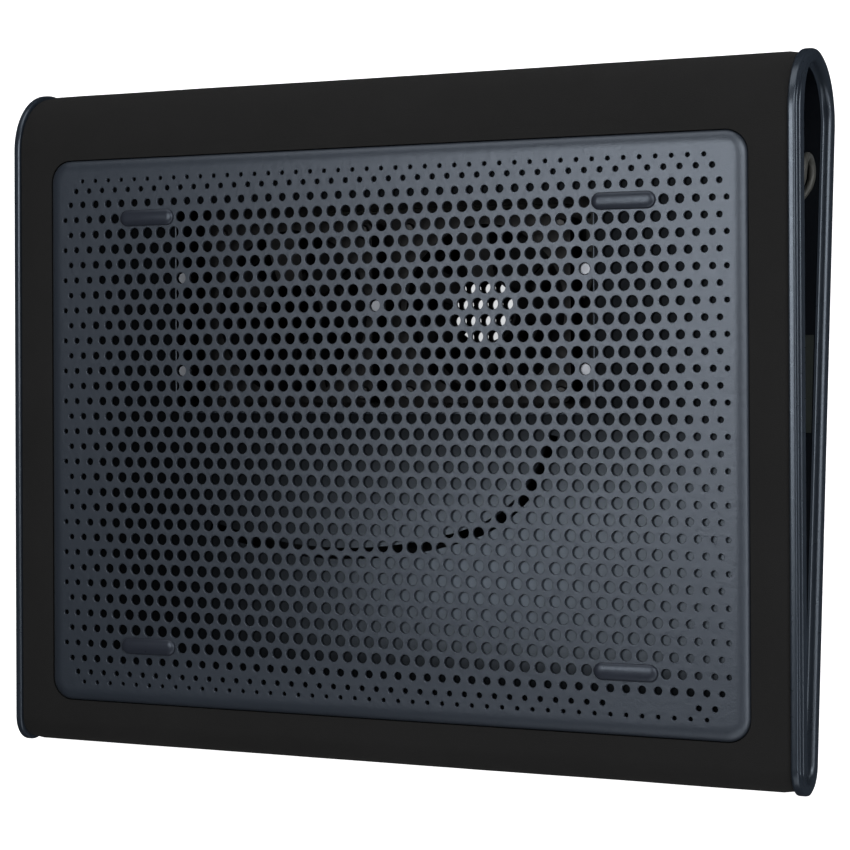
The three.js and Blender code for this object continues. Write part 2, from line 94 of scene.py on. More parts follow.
def tray_direction(u, v, n):
    return Vector((u, v * COS - n * SIN, v * SIN + n * COS))


# ---- camera --------------------------------------------------------------------------------------
CAMERA_PLACE = (448.7, 32.6, 914.7)
CAMERA_BACK = (0.4209, -0.0061, 0.9071)
CAMERA_UP = (0.0068, 1, 0.0036)
CAMERA_LENS = 98.86
CAMERA_SHIFT_Y = -0.085


def make_camera():
    """Above the tray and to its right, held so that the tray's slope is up. Tray axes."""
    data = bpy.data.cameras.new("camera")
    data.sensor_width = 36
    data.lens = CAMERA_LENS
    data.shift_y = CAMERA_SHIFT_Y
    data.clip_start = 0.05
    data.clip_end = 20
    camera = bpy.data.objects.new("camera", data)
    back = tray_direction(*CAMERA_BACK).normalized()
    up = tray_direction(*CAMERA_UP)
    right = up.cross(back).normalized()
    up = back.cross(right)
    turn = Matrix((right, up, back)).transposed().to_4x4()
    camera.matrix_world = Matrix.Translation(tray_point(*CAMERA_PLACE)) @ turn
    bpy.context.scene.collection.objects.link(camera)
    bpy.context.scene.camera = camera


make_camera()


# ---- mesh helpers --------------------------------------------------------------------------------
def new_object(name, vertices, faces, material=None, smooth=True):
    mesh = bpy.data.meshes.new(name)
    mesh.from_pydata([tuple(v) for v in vertices], [], faces)
    mesh.validate()
    mesh.update()
    made = bpy.data.objects.new(name, mesh)
    bpy.context.scene.collection.objects.link(made)
    if material:
        mesh.materials.append(material)
    if smooth:
        mesh.shade_smooth()
    return made


def fix_normals(made):
    edit = bmesh.new()
    edit.from_mesh(made.data)
    bmesh.ops.recalc_face_normals(edit, faces=edit.faces)
    edit.to_mesh(made.data)
    edit.free()


def sharpen(made, degrees=35):
    made.data.set_sharp_from_angle(angle=math.radians(degrees))


# ---- USB lead ------------------------------------------------------------------------------------
FLOOR_Z = 7.0
RELIEF_V, RELIEF_N, RELIEF_LONG = 88.0, -20.0, 14.0
TUB_SIDE = TUB_HALF_U + TUB_WALL + GAP
COIL_X, COIL_Y, COIL_R, COIL_BASE = 150.0, 103.0, 17.5, 9.0
COIL_START, COIL_END = -104.0, -68.0
COIL_STEPS = 84
LAYER_CHANGE = 0.4
BIGHT_X, BIGHT_Y, BIGHT_R = 183.3, 104.5, 6.6
PLUG_X, PLUG_BACK_Y = 164.0, 70.0
REST_Z = FLOOR_Z + LEAD_D / 2 + GAP


def coil_route():
    """The coil's turns, two layers of two, anticlockwise from the near side to where the tail leaves."""
    low = COIL_BASE + LEAD_D / 2 + 0.2
    high = low + LEAD_D
    near, far = COIL_R - LEAD_D / 2 - 0.05, COIL_R + LEAD_D / 2 + 0.05
    layers = [(far, high), (near, high), (near, low), (far, low)]
    last = len(layers) - 1
    sweep = COIL_END - COIL_START + 360 * last
    route = []
    for i in range(COIL_STEPS + 1):
        at = i / COIL_STEPS * len(layers)
        k = min(int(at), last)
        here, after = layers[k], layers[min(k + 1, last)]
        blend = max(0.0, (at - k - 1 + LAYER_CHANGE) / LAYER_CHANGE)
        blend = blend * blend * (3 - 2 * blend)
        radius, height = (a + (b - a) * blend for a, b in zip(here, after))
        angle = math.radians(COIL_START + sweep * i / COIL_STEPS)
        route.append((COIL_X + radius * math.cos(angle), COIL_Y + radius * math.sin(angle), height))
    return route


def lead_route():
    """The lead's centreline in millimetres: out of the relief, round the coil and on to the plug."""
    exit_at = tray_point(0, RELIEF_V, RELIEF_N) / MM
    x, y, z = TUB_SIDE + RELIEF_LONG + GAP, exit_at.y, exit_at.z
    inner = [
        (x, y, z), (x + 5, y, z - 0.6), (x + 10, y + 0.3, z - 3.6), (x + 14.6, y + 1.1, z - 8.4),
        (x + 19, y + 2.3, z - 13.4), (x + 23.2, y + 4.4, z - 16.6),
    ]
    low, top = REST_Z, REST_Z + 2 * BIGHT_R
    diagonal = BIGHT_R * 0.707
    bend = [
        (BIGHT_X, BIGHT_Y, low),
        (BIGHT_X, BIGHT_Y + diagonal, low + BIGHT_R * 0.293),
        (BIGHT_X, BIGHT_Y + BIGHT_R, low + BIGHT_R),
        (BIGHT_X, BIGHT_Y + diagonal, low + BIGHT_R * 1.707),
        (BIGHT_X, BIGHT_Y, top),
    ]
    out_and_back = [
        (164, 86.2, low + 0.7), (170.5, 88.6, low + 0.1), (176.5, 92.4, low),
        (180.8, 97.2, low), (182.8, 101.2, low), *bend,
        (182.6, 99, top - 0.1), (180, 93.8, top - 0.9), (175.6, 89.4, top - 2.7),
        (170.6, 85.6, top - 5.1), (166.6, 81.6, top - 7.5), (164.4, 76.8, top - 9.7),
        (PLUG_X, PLUG_BACK_Y + GAP, low + 2.6),
    ]
    return inner + coil_route() + out_and_back


def make_lead(material):
    route = lead_route()
    curve = bpy.data.curves.new("usb_lead_cable", "CURVE")
    curve.dimensions = "3D"
    curve.bevel_depth = LEAD_D / 2 * MM
    curve.bevel_resolution = 4
    curve.resolution_u = 4
    curve.use_fill_caps = True
    spline = curve.splines.new("BEZIER")
    spline.bezier_points.add(len(route) - 1)
    for point, place in zip(spline.bezier_points, route):
        point.co = Vector(place) * MM
        point.handle_left_type = point.handle_right_type = "AUTO"
    curve.materials.append(material)
    cable = bpy.data.objects.new("usb_lead_cable", curve)
    bpy.context.scene.collection.objects.link(cable)
    return cable, Vector(route[0]) * MM


# ---- materials -----------------------------------------------------------------------------------
COOL = (0.75, 0.86, 1.0, 1)


def new_material(name, color, roughness, **inputs):
    material = bpy.data.materials.new(name)
    material.use_nodes = True
    shader = material.node_tree.nodes["Principled BSDF"]
    shader.inputs["Base Color"].default_value = (*color, 1)
    shader.inputs["Roughness"].default_value = roughness
    for label, value in inputs.items():
        shader.inputs[label.replace("_", " ")].default_value = value
    return material


class Graph:
    """A few words for building a material's nodes."""

    def __init__(self, material):
        self.tree = material.node_tree
        self.shader = self.tree.nodes["Principled BSDF"]
        self.coords = self.tree.nodes.new("ShaderNodeTexCoord").outputs["Object"]

    def node(self, kind, **settings):
        made = self.tree.nodes.new("ShaderNode" + kind)
        for label, value in settings.items():
            setattr(made, label, value)
        return made

    def link(self, output, target):
        self.tree.links.new(output, target)

    def noise(self, scale, detail=3.0, roughness=0.5):
        made = self.node("TexNoise")
        made.inputs["Scale"].default_value = scale
        made.inputs["Detail"].default_value = detail
        made.inputs["Roughness"].default_value = roughness
        self.link(self.coords, made.inputs["Vector"])
        return made.outputs["Fac"]

    def ramp(self, factor, low, high):
        made = self.node("MapRange")
        made.inputs["To Min"].default_value = low
        made.inputs["To Max"].default_value = high
        made.inputs["From Min"].default_value = 0.25
        made.inputs["From Max"].default_value = 0.75
        self.link(factor, made.inputs["Value"])
        return made.outputs["Result"]

    def mix_color(self, factor, first, second, target):
        made = self.node("Mix", data_type="RGBA")
        made.inputs[6].default_value = (*first, 1)
        made.inputs[7].default_value = (*second, 1)
        self.link(factor, made.inputs[0])
        self.link(made.outputs[2], target)

    def across(self, direction, start):
        """Distance along a direction of the pad from a starting place, in millimetres."""
        made = self.node("VectorMath", operation="DOT_PRODUCT")
        made.inputs[1].default_value = tuple(c / MM for c in direction)
        self.link(self.coords, made.inputs[0])
        return self.sum(made.outputs["Value"], -start)

    def fade(self, value, start, end):
        """A smooth rise from 0 at the start to 1 at the end."""
        made = self.node("MapRange", interpolation_type="SMOOTHSTEP")
        made.inputs["From Min"].default_value = start
        made.inputs["From Max"].default_value = end
        self.link(value, made.inputs["Value"])
        return made.outputs["Result"]

    def combine(self, operation, first, second):
        made = self.node("Math", operation=operation)
        for value, target in ((first, made.inputs[0]), (second, made.inputs[1])):
            if isinstance(value, (int, float)):
                target.default_value = value
            else:
                self.link(value, target)
        return made.outputs["Value"]

    def sum(self, first, second):
        return self.combine("ADD", first, second)

    def product(self, *values):
        made = values[0]
        for value in values[1:]:
            made = self.combine("MULTIPLY", made, value)
        return made

    def bump(self, height, strength, distance):
        made = self.node("Bump")
        made.inputs["Strength"].default_value = strength
        made.inputs["Distance"].default_value = distance
        self.link(height, made.inputs["Height"])
        self.link(made.outputs["Normal"], self.shader.inputs["Normal"])


def tray_paint():
    material = new_material("tray_paint", (0.019, 0.024, 0.033), 0.4, Specular_IOR_Level=1.0,
                            Specular_Tint=(0.78, 0.87, 1.0, 1))
    graph = Graph(material)
    cloud = graph.noise(9, 3)
    graph.mix_color(cloud, (0.017, 0.022, 0.030), (0.021, 0.026, 0.036),
                    graph.shader.inputs["Base Color"])
    grain = graph.noise(1400, 2, 0.6)
    graph.link(graph.ramp(grain, 0.34, 0.46), graph.shader.inputs["Roughness"])
    peel = graph.product(graph.noise(330, 2, 0.5), 2.0)
    graph.bump(graph.sum(peel, grain), 0.14, 0.0004)
    return material


def shell_face():
    """The shell under the tray, near black, with a painted reflection: towards the front right its base
    colour is lightened to grey-blue and its specular is raised.
    """
    material = new_material("shell_face", (0.006, 0.008, 0.012), 0.38, Specular_Tint=COOL)
    graph = Graph(material)
    u = graph.across((1, 0, 0), 0)
    v = graph.across((0, COS, SIN), TRAY_Y * COS + TRAY_Z * SIN)
    # Mask of the painted reflection: a strong patch at the front right and a weaker reach around it.
    painted_reflection_patch = graph.product(graph.fade(u, -45, 50), graph.fade(u, 135, 40), graph.fade(v, -94, -62),
                          graph.fade(v, -12, -58), 2.4)
    reach = graph.product(graph.fade(u, -110, 90), graph.fade(v, 18, -50), graph.fade(v, -104, -82),
                          graph.sum(painted_reflection_patch, 1.0))
    shine = graph.sum(reach, 0.05)
    graph.link(graph.combine("MINIMUM", shine, 1.0), graph.shader.inputs["Specular IOR Level"])
    # Painted reflection: the base colour goes from black to grey-blue as the shine rises.
    graph.mix_color(graph.product(shine, 0.3), (0, 0, 0), (0.075, 0.09, 0.11),
                    graph.shader.inputs["Base Color"])
    grain = graph.noise(800, 3, 0.6)
    graph.link(graph.ramp(grain, 0.3, 0.46), graph.shader.inputs["Roughness"])
    graph.bump(grain, 0.08, 0.0003)
    return material


def neoprene_knit():
    material = new_material("neoprene_knit", (0.017, 0.017, 0.017), 0.9, Specular_IOR_Level=0.1)
    graph = Graph(material)
    cloud = graph.noise(22, 4, 0.6)
    graph.mix_color(cloud, (0.012, 0.012, 0.012), (0.0165, 0.0165, 0.0167),
                    graph.shader.inputs["Base Color"])
    fibres = graph.noise(1900, 3, 0.7)
    graph.bump(fibres, 0.35, 0.0006)
    return material


def simple_plastic(name, color, roughness, grain=900, strength=0.08, spread=0.08, **inputs):
    """Moulded plastic or rubber with a fine texture and a little variation in its shine."""
    material = new_material(name, color, roughness, **inputs)
    graph = Graph(material)
    speckle = graph.noise(grain, 3, 0.6)
    graph.link(graph.ramp(speckle, roughness - spread, roughness + spread),
               graph.shader.inputs["Roughness"])
    darker = tuple(c * 0.82 for c in color)
    lighter = tuple(c * 1.15 for c in color)
    graph.mix_color(graph.noise(45, 3), darker, lighter, graph.shader.inputs["Base Color"])
    graph.bump(speckle, strength, 0.0003)
    return material


TRAY = tray_paint()
SKIN = neoprene_knit()
TRIM = simple_plastic("trim_gloss", (0.015, 0.020, 0.028), 0.3, 500, 0.02, 0.04,
                      Specular_IOR_Level=0.9, Specular_Tint=COOL)
STOP = simple_plastic("stop_rubber", (0.019, 0.022, 0.031), 0.34, 700, 0.05, Specular_Tint=COOL)
SHELL = simple_plastic("shell_plastic", (0.006, 0.008, 0.012), 0.38, 800, 0.08,
                       Specular_IOR_Level=1.0, Specular_Tint=COOL)
FAN = simple_plastic("fan_plastic", (0.0012, 0.0016, 0.0025), 0.45, 600, 0.04,
                     Specular_IOR_Level=0.2)
# A darker, less glossy copy of the shell plastic for the bottom shell: painted shade of the cavity
# inside the sleeve.
SHELL_IN_PAINTED_SHADE = simple_plastic("shell_plastic_painted_shade", (0.001, 0.002, 0.004), 0.5, 700, 0.1,
                       Specular_IOR_Level=0.15)
FAN_SCREW = simple_plastic("screw_black", (0.004, 0.004, 0.005), 0.45, 300, 0.04)
STEEL = simple_plastic("zinc_steel", (0.22, 0.23, 0.25), 0.45, 300, 0.05, Metallic=1.0)
FOIL = simple_plastic("hub_foil", (0.105, 0.107, 0.11), 0.04, 200, 0.005, 0.01, Metallic=1.0)
COPPER = simple_plastic("copper_winding", (0.55, 0.22, 0.09), 0.4, 900, 0.3, Metallic=1.0)
BOARD = simple_plastic("board_green", (0.002, 0.006, 0.004), 0.5, 400, 0.05)
LEAD = simple_plastic("lead_pvc", (0.043, 0.044, 0.040), 0.42, 900, 0.08)
LABEL = simple_plastic("label_film", (0.017, 0.021, 0.019), 0.4, 600, 0.05)
PLUG_STEEL = simple_plastic("plug_steel", (0.7, 0.7, 0.7), 0.2, 200, 0.03, Metallic=1.0)

FINISHES = {
    "neoprene": SKIN, "shell_plastic": SHELL, "trim_gloss": TRIM, "tray_face": TRAY,
    "stop_rubber": STOP, "fan_plastic": FAN, "screw_black": FAN_SCREW, "screw_steel": STEEL,
    "copper_winding": COPPER, "hub_foil": FOIL, "board_green": BOARD, "wire_pvc": LEAD,
    "lead_pvc": LEAD, "plug_steel": PLUG_STEEL, "tie_nylon": LEAD, "label_film": LABEL,
}
# The top shell carries a painted reflection; the bottom shell carries the painted-shade copy of the
# shell plastic.
SHELL_LOOKS = {"top_shell": shell_face(), "bottom_shell": SHELL_IN_PAINTED_SHADE}
SLOT_OF = {part["node"]: part["material_slot"] for part in record["subparts"]}

for node, made in frame["nodes"].items():
    for material_slot in made.material_slots:
        material_slot.material = SHELL_LOOKS.get(node, FINISHES[SLOT_OF[node]])

cable, cable_exit = make_lead(LEAD)
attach(cable, "casing")


# ---- the sleeve's outline ------------------------------------------------------------------------
def sleeve_stations(arc_step=5.0, flat_step=6.0):
    """Places round the sleeve: (y, z, radius, angle), where a point lies radius out from (y, z)."""
    rear = (REAR_Y, REAR_R, REAR_R)
    front = (FRONT_Y, FRONT_R, FRONT_R)
    quarter = math.pi / 2
    stations = []

    def arc(centre, start, end):
        steps = max(2, round(math.degrees(abs(end - start)) / arc_step))
        for i in range(steps):
            stations.append((*centre, start + (end - start) * i / steps))

    def flat(first, second, angle):
        steps = round(BASE_SPAN / flat_step)
        for i in range(steps):
            t = i / steps
            stations.append((*(a + (b - a) * t for a, b in zip(first, second)), angle))

    arc(rear, -quarter, quarter + SLOPE)
    flat(rear, front, quarter + SLOPE)
    arc(front, quarter + SLOPE, 3 * quarter)
    flat(front, rear, 3 * quarter)
    return stations


def sleeve_point(station, inset, x):
    y, z, radius, angle = station
    reach = radius - inset
    return Vector((x, y + reach * math.cos(angle), z + reach * math.sin(angle))) * MM


# ---- end trims -----------------------------------------------------------------------------------
TRIM_GROWTH = 0.4
BEAD_HIGH = 0.9
BEAD_STEPS = 16


def stepped_face(bead_to, outer):
    """The end face seen above: a groove beside the bead and two fine ridges."""
    wide = outer - bead_to
    return [(bead_to - 0.05, 1.35), (bead_to - 0.05, 1.75), (bead_to + 0.12 * wide, 1.85),
            (bead_to + 0.2 * wide, 2.0), (bead_to + 0.24 * wide, 2.3), (bead_to + 0.3 * wide, 3.9),
            (bead_to + 0.3 * wide, 4.2), (bead_to + 0.45 * wide, 4.3), (bead_to + 0.56 * wide, 4.5),
            (bead_to + 0.62 * wide, 4.8), (bead_to + 0.8 * wide, 5.9), (bead_to + 0.97 * wide, 6.2),
            (outer, 6.5), (outer - 0.15, 6.8), (outer - 0.5, 6.97), (outer - 0.9, TRIM_DEPTH)]


def rounded_face(outer, radius=2.6, flat_to=2.6):
    """The end face seen below: flat near the bead, then rolled over to the inside."""
    made = [(outer - 0.25, 1.35), (outer - 0.05, 1.75)]
    for i in range(12):
        angle = math.pi / 2 * i / 11
        made.append((outer - radius * (1 - math.cos(angle)), flat_to + radius * math.sin(angle)))
    return made + [(0.9, flat_to + radius + 0.05), (0.3, flat_to + radius + 0.3)]


def trim_section(bead_from, bead_to, face):
    """The trim's section as (distance out from its inner face, inset) pairs, going round."""
    section = [(0.0, TRIM_DEPTH), (0.0, 1.2)]
    if bead_from < 0:
        section.append((bead_from + 0.1, 1.0))
    centre, half = (bead_from + bead_to) / 2, (bead_to - bead_from) / 2
    for i in range(1, BEAD_STEPS):
        across = -math.cos(math.pi * i / BEAD_STEPS)
        section.append((centre + half * across, BEAD_HIGH * (1 - (1 - across ** 4) ** 0.42)))
    section += face
    return section


def make_trim(name, side, above, below):
    """One end trim. Its section runs from the one above the tray's level to the one below it."""
    stations = sleeve_stations(3, 12)
    inner_x = END_X - TRIM_WIDTH
    vertices = []
    for station in stations:
        grown = TRIM_GROWTH * math.cos(station[3]) ** 2
        low = min(1.0, max(0.0, 1 - math.sin(station[3])))
        for first, second in zip(above, below):
            out, inset = (a + (b - a) * low for a, b in zip(first, second))
            vertices.append(sleeve_point(station, inset - grown, side * (inner_x + out)))
    count, around = len(above), len(stations)
    faces = []
    for i in range(around):
        for j in range(count):
            a, b = i * count + j, i * count + (j + 1) % count
            c, d = ((i + 1) % around) * count + (j + 1) % count, ((i + 1) % around) * count + j
            faces.append((a, b, c, d))
    made = new_object(name, vertices, faces, TRIM)
    fix_normals(made)
    sharpen(made, 60)
    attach(made, "casing")
    return made


left_above = trim_section(-0.1, 3.1, stepped_face(3.1, 4.2))
left_below = trim_section(-0.1, 3.6, rounded_face(4.1))
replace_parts(make_trim("trim_left", -1, left_above, left_below), "side_trim_left")
right_above = trim_section(-0.6, 2.7, stepped_face(2.7, 4.7))
right_below = trim_section(-0.6, 4.1, rounded_face(4.7))
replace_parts(make_trim("trim_right", 1, right_above, right_below), "side_trim_right")


# ---- outlines for flat work ----------------------------------------------------------------------
def rounded_rect(width, depth, corner, centre_v, steps=8):
    """Points anticlockwise round a rectangle with round corners."""
    points = []
    half_w, half_d = width / 2 - corner, depth / 2 - corner
    for quarter, (su, sv) in enumerate(((1, 1), (-1, 1), (-1, -1), (1, -1))):
        for i in range(steps + 1):
            angle = math.pi / 2 * (quarter + i / steps)
            points.append((su * half_w + corner * math.cos(angle),
                           centre_v + sv * half_d + corner * math.sin(angle)))
    return points


def loop_edges(first, count):
    return [(first + i, first + (i + 1) % count) for i in range(count)]


# ---- perforated tray -----------------------------------------------------------------------------
EDGE_DIAMETERS = (2.4, 2.9, 3.4, 4.0, 4.5, 4.95, 5.1)
ROW_PITCHES = {16: 15.9, 17: 16.55}
ROW_ENDS = {16: 22.0, 17: 21.5}
ROW_LIMITS = {17: 2.0, 16: 2.6, 15: 3.6, 14: 4.9}
FULL_DIAMETER = 5.2
BLANK_ROW, BLANK_COLUMNS = -16, (16, 17, 18, 19, 20)
STOPS = [(side * STOP_U, v) for v in (STOP_REAR_V, STOP_FRONT_V) for side in (-1, 1)]
HOLE_SIDES = 20
HOLE_LIP = 0.16
LIP_STEPS = ((0.55, 0.03), (0.2, 0.09), (0.0, 0.2), (0.0, PLATE_THICK))


def smooth_table(values, at):
    """Reads a list at a fractional place."""
    at = max(0.0, min(at, len(values) - 1))
    low = int(at)
    high = min(low + 1, len(values) - 1)
    return values[low] + (values[high] - values[low]) * (at - low)


def row_height(row):
    """Height of a row above the grid's middle; the last two rows are drawn in."""
    size = abs(row)
    return math.copysign(ROW_PITCHES.get(size, size) * PITCH, row)


def under_stop(u, v):
    """Whether a hole at this place would meet a stop bar's seat."""
    return any(abs(u - su) < STOP_HALF_U + 2.2 and abs(v - sv) < STOP_HALF_V + 2 for su, sv in STOPS)


def holes():
    """Every hole of the perforation as (u, v, radius)."""
    made = []
    for row in range(-17, 18):
        v = GRID_CENTRE_V + row_height(row)
        size = abs(row)
        last = ROW_ENDS.get(size, 23.0 if row % 2 == 0 else 22.5)
        columns = [-last + i for i in range(int(2 * last) + 1)]
        row_limit = ROW_LIMITS.get(size, FULL_DIAMETER)
        blank = BLANK_COLUMNS if row == BLANK_ROW else ()
        for column in columns:
            if column in blank:
                continue
            edge = 23.0 - abs(column)
            squeeze = 0.13 * max(0.0, 1 - edge)
            u = math.copysign((abs(column) - squeeze) * PITCH, column)
            diameter = smooth_table(EDGE_DIAMETERS, edge) if edge < 6 else FULL_DIAMETER
            if not under_stop(u, v):
                made.append((u, v, min(diameter, row_limit) / 2))
    return made


def hole_ring(u, v, radius):
    """The corners of a hole's outline, anticlockwise."""
    for i in range(HOLE_SIDES):
        angle = math.tau * i / HOLE_SIDES
        yield u + radius * math.cos(angle), v + radius * math.sin(angle)


def add_hole_wall(vertices, faces, hole, top, bottom):
    """The rounded lip and the wall of one hole, joined to the plate's two faces."""
    u, v, radius = hole
    previous = top
    for out, drop in LIP_STEPS:
        ring = []
        for corner_u, corner_v in hole_ring(u, v, radius + HOLE_LIP * out):
            ring.append(len(vertices))
            vertices.append(tray_point(corner_u, corner_v, -drop))
        join_rings(faces, previous, ring)
        previous = ring
    join_rings(faces, previous, bottom)


def join_rings(faces, first, second):
    """Faces between two closed rings of vertices with the same count."""
    count = len(first)
    for i in range(count):
        j = (i + 1) % count
        faces.append((first[i], first[j], second[j], second[i]))


def make_plate():
    """The tray: a flat perforated face, thickened, with a lip in every hole and a rolled border."""
    flat_w = PLATE_WIDTH - 2 * RIM_RUN
    flat_d = PLATE_DEPTH - 2 * RIM_RUN
    outline = rounded_rect(flat_w, flat_d, PLATE_CORNER - RIM_RUN, PLATE_CENTRE_V)
    points = [Vector(p) for p in outline]
    edges = loop_edges(0, len(points))
    rings = []
    for u, v, radius in holes():
        first = len(points)
        points += [Vector(corner) for corner in hole_ring(u, v, radius + HOLE_LIP)]
        edges += loop_edges(first, HOLE_SIDES)
        rings.append(((u, v, radius), first))
    out_points, _, out_faces, origin, _, _ = delaunay_2d_cdt(points, edges, [], 1, 1e-5)
    place = {}
    for new, olds in enumerate(origin):
        for old in olds:
            place[old] = new
    hole_of = {}
    for index, (_, first) in enumerate(rings):
        for i in range(HOLE_SIDES):
            hole_of[place[first + i]] = index
    vertices = [tray_point(p.x, p.y, 0) for p in out_points]
    faces = []
    for face in out_faces:
        owners = {hole_of.get(i) for i in face}
        if len(owners) == 1 and None not in owners:
            continue
        faces.append(tuple(face))
    top_count = len(vertices)
    under = [tray_point(p.x, p.y, -PLATE_THICK) for p in out_points]
    vertices += under
    faces += [tuple(i + top_count for i in reversed(face)) for face in list(faces)]
    for hole, first in rings:
        top = [place[first + i] for i in range(HOLE_SIDES)]
        add_hole_wall(vertices, faces, hole, top, [i + top_count for i in top])
    add_rim(vertices, faces, [place[i] for i in range(len(outline))], top_count)
    made = new_object("perforated_tray", vertices, faces, TRAY)
    fix_normals(made)
    sharpen(made, 21)
    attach(made, "casing")
    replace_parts(made, "perforated_plate")


def add_rim(vertices, faces, flat_edge, top_count):
    """The rolled border: an outer skin and an inner skin a plate's thickness behind it."""
    def ring(run, n):
        grown = rounded_rect(PLATE_WIDTH - 2 * (RIM_RUN - run), PLATE_DEPTH - 2 * (RIM_RUN - run),
                             PLATE_CORNER - RIM_RUN + run, PLATE_CENTRE_V)
        first = len(vertices)
        vertices.extend(tray_point(u, v, n) for u, v in grown)
        return list(range(first, first + len(grown)))

    outside, inside = flat_edge, [i + top_count for i in flat_edge]
    steps = 8
    for k in range(1, steps + 1):
        angle = math.pi / 2 * k / steps
        run, drop = RIM_RUN * math.sin(angle), RIM_DROP * (1 - math.cos(angle))
        after = ring(run, -drop)
        join_rings(faces, outside, after)
        outside = after
        inner_run = (RIM_RUN - PLATE_THICK) * math.sin(angle)
        behind = ring(inner_run, -PLATE_THICK - (RIM_DROP - 0.5) * (1 - math.cos(angle)))
        join_rings(faces, inside, behind)
        inside = behind
    foot_out, foot_in = ring(RIM_RUN, -RIM_FOOT), ring(RIM_RUN - PLATE_THICK, -RIM_FOOT)
    join_rings(faces, outside, foot_out)
    join_rings(faces, inside, foot_in)
    join_rings(faces, foot_out, foot_in)


make_plate()


# ---- rounded lip of the fan window ---------------------------------------------------------------
def make_window_lip():
    """A fine bead round the opening over the fans; its shine shows through the nearest holes."""
    level, radius, steps = -2.0, 0.45, 8
    path = rounded_rect(2 * TUB_HALF_U, TUB_REAR_V - TUB_FRONT_V, TUB_CORNER,
                        (TUB_FRONT_V + TUB_REAR_V) / 2)
    vertices, faces = [], []
    count = len(path)
    for i, (u, v) in enumerate(path):
        before, after = Vector(path[i - 1]), Vector(path[(i + 1) % count])
        along = (after - before).normalized()
        outwards = Vector((along.y, -along.x))
        for k in range(steps):
            angle = math.tau * k / steps
            at = Vector((u, v)) + outwards * radius * math.cos(angle)
            vertices.append(tray_point(at.x, at.y, level + radius * math.sin(angle)))
    for i in range(count):
        for k in range(steps):
            a, b = i * steps + k, i * steps + (k + 1) % steps
            c, d = (i + 1) % count * steps + (k + 1) % steps, (i + 1) % count * steps + k
            faces.append((a, b, c, d))
    made = new_object("fan_window_lip", vertices, faces, SHELL)
    fix_normals(made)
    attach(made, "casing")


make_window_lip()


# ---- stop bars -----------------------------------------------------------------------------------
STOP_SEAT, STOP_WALL_TOP = 0.05, 0.5
STOP_DOME_IN, STOP_DOME_HIGH = 3.6, 1.5


def make_stop(name, node, u, v):
    """A pill-shaped soft bar, domed along its edges, sitting in a shallow seat."""
    profile = [(0.0, STOP_SEAT), (0.0, STOP_WALL_TOP)]
    for i in range(1, 9):
        angle = math.pi / 2 * i / 9
        profile.append((STOP_DOME_IN * (1 - math.cos(angle)),
                        STOP_WALL_TOP + STOP_DOME_HIGH * math.sin(angle)))
    steps = 10
    vertices = []
    for shrink, n in profile:
        radius = STOP_HALF_V - shrink
        straight = STOP_HALF_U - STOP_HALF_V
        for end in (1, -1):
            for i in range(steps + 1):
                angle = -math.pi / 2 + math.pi * i / steps
                du = end * (straight + radius * math.cos(angle))
                dv = end * radius * math.sin(angle)
                vertices.append(tray_point(u + du, v + dv, n))
    count = 2 * (steps + 1)
    faces = [tuple(range(count - 1, -1, -1))]
    for k in range(len(profile) - 1):
        lower = range(k * count, (k + 1) * count)
        join_rings(faces, lower, range((k + 1) * count, (k + 2) * count))
    faces.append(tuple(range((len(profile) - 1) * count, len(profile) * count)))
    made = new_object(name, vertices, faces, STOP)
    fix_normals(made)
    sharpen(made, 50)
    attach(made, "casing")
    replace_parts(made, node)


for end, v in (("rear", STOP_REAR_V), ("front", STOP_FRONT_V)):
    for side, sign in (("left", -1), ("right", 1)):
        make_stop(f"stop_{end}_{side}", f"stop_bar_{end}_{side}", sign * STOP_U, v)


# ---- neoprene skin -------------------------------------------------------------------------------
SKIN_PUFF = 0.45
SKIN_TUCK = 0.45
SKIN_PINCH = 0.3
DIP_DEPTH, DIP_X, DIP_REACH, DIP_ARC = 1.4, 17, 52, 0.6


def skin_swell(x, s):
    """How far the soft skin rises or sinks at a place, in millimetres."""
    broad = noise.noise(Vector((x * 0.012, s * 0.014, 3.1)))
    fine = noise.noise(Vector((x * 0.045, s * 0.05, 7.7)))
    return 0.22 * broad + 0.08 * fine


def rear_dip(x, angle):
    """The rolled rear edge is pressed in a little behind the fans."""
    if not 0 < angle < math.pi * DIP_ARC:
        return 0.0
    return DIP_DEPTH * math.exp(-((x - DIP_X) / DIP_REACH) ** 4) * math.sin(angle / DIP_ARC) ** 2


def round_lengths(stations):
    """Distance along the middle of the cover's thickness to each station, and the whole way round."""
    middle = SKIN_INSET + SKIN_THICK / 2
    lengths = [0.0]
    for first, second in zip(stations, stations[1:] + stations[:1]):
        gap = sleeve_point(second, middle, 0) - sleeve_point(first, middle, 0)
        lengths.append(lengths[-1] + gap.length / MM)
    return lengths


def station_at(s, stations, lengths):
    """The place round the sleeve at a distance along the cover."""
    s = s % lengths[-1]
    for i in range(len(stations)):
        if lengths[i] <= s + 1e-6 and s < lengths[i + 1] - 1e-6:
            t = (s - lengths[i]) / (lengths[i + 1] - lengths[i])
            a, b = stations[i], stations[(i + 1) % len(stations)]
            end_angle = b[3] + (math.tau if b[3] < a[3] - math.pi else 0)
            return (*(p + (q - p) * t for p, q in zip(a[:3], b[:3])), a[3] + (end_angle - a[3]) * t)
    return stations[0]


def in_window(x, s, window_x, window_s, middle_s):
    """Whether a place on the flat sheet lies in the tray's opening, which has round corners."""
    du, dv = abs(x), abs(s - middle_s)
    if du > window_x or dv > window_s:
        return False
    past_u, past_v = du - window_x + PLATE_CORNER, dv - window_s + PLATE_CORNER
    return min(past_u, past_v) <= 0 or math.hypot(past_u, past_v) < PLATE_CORNER


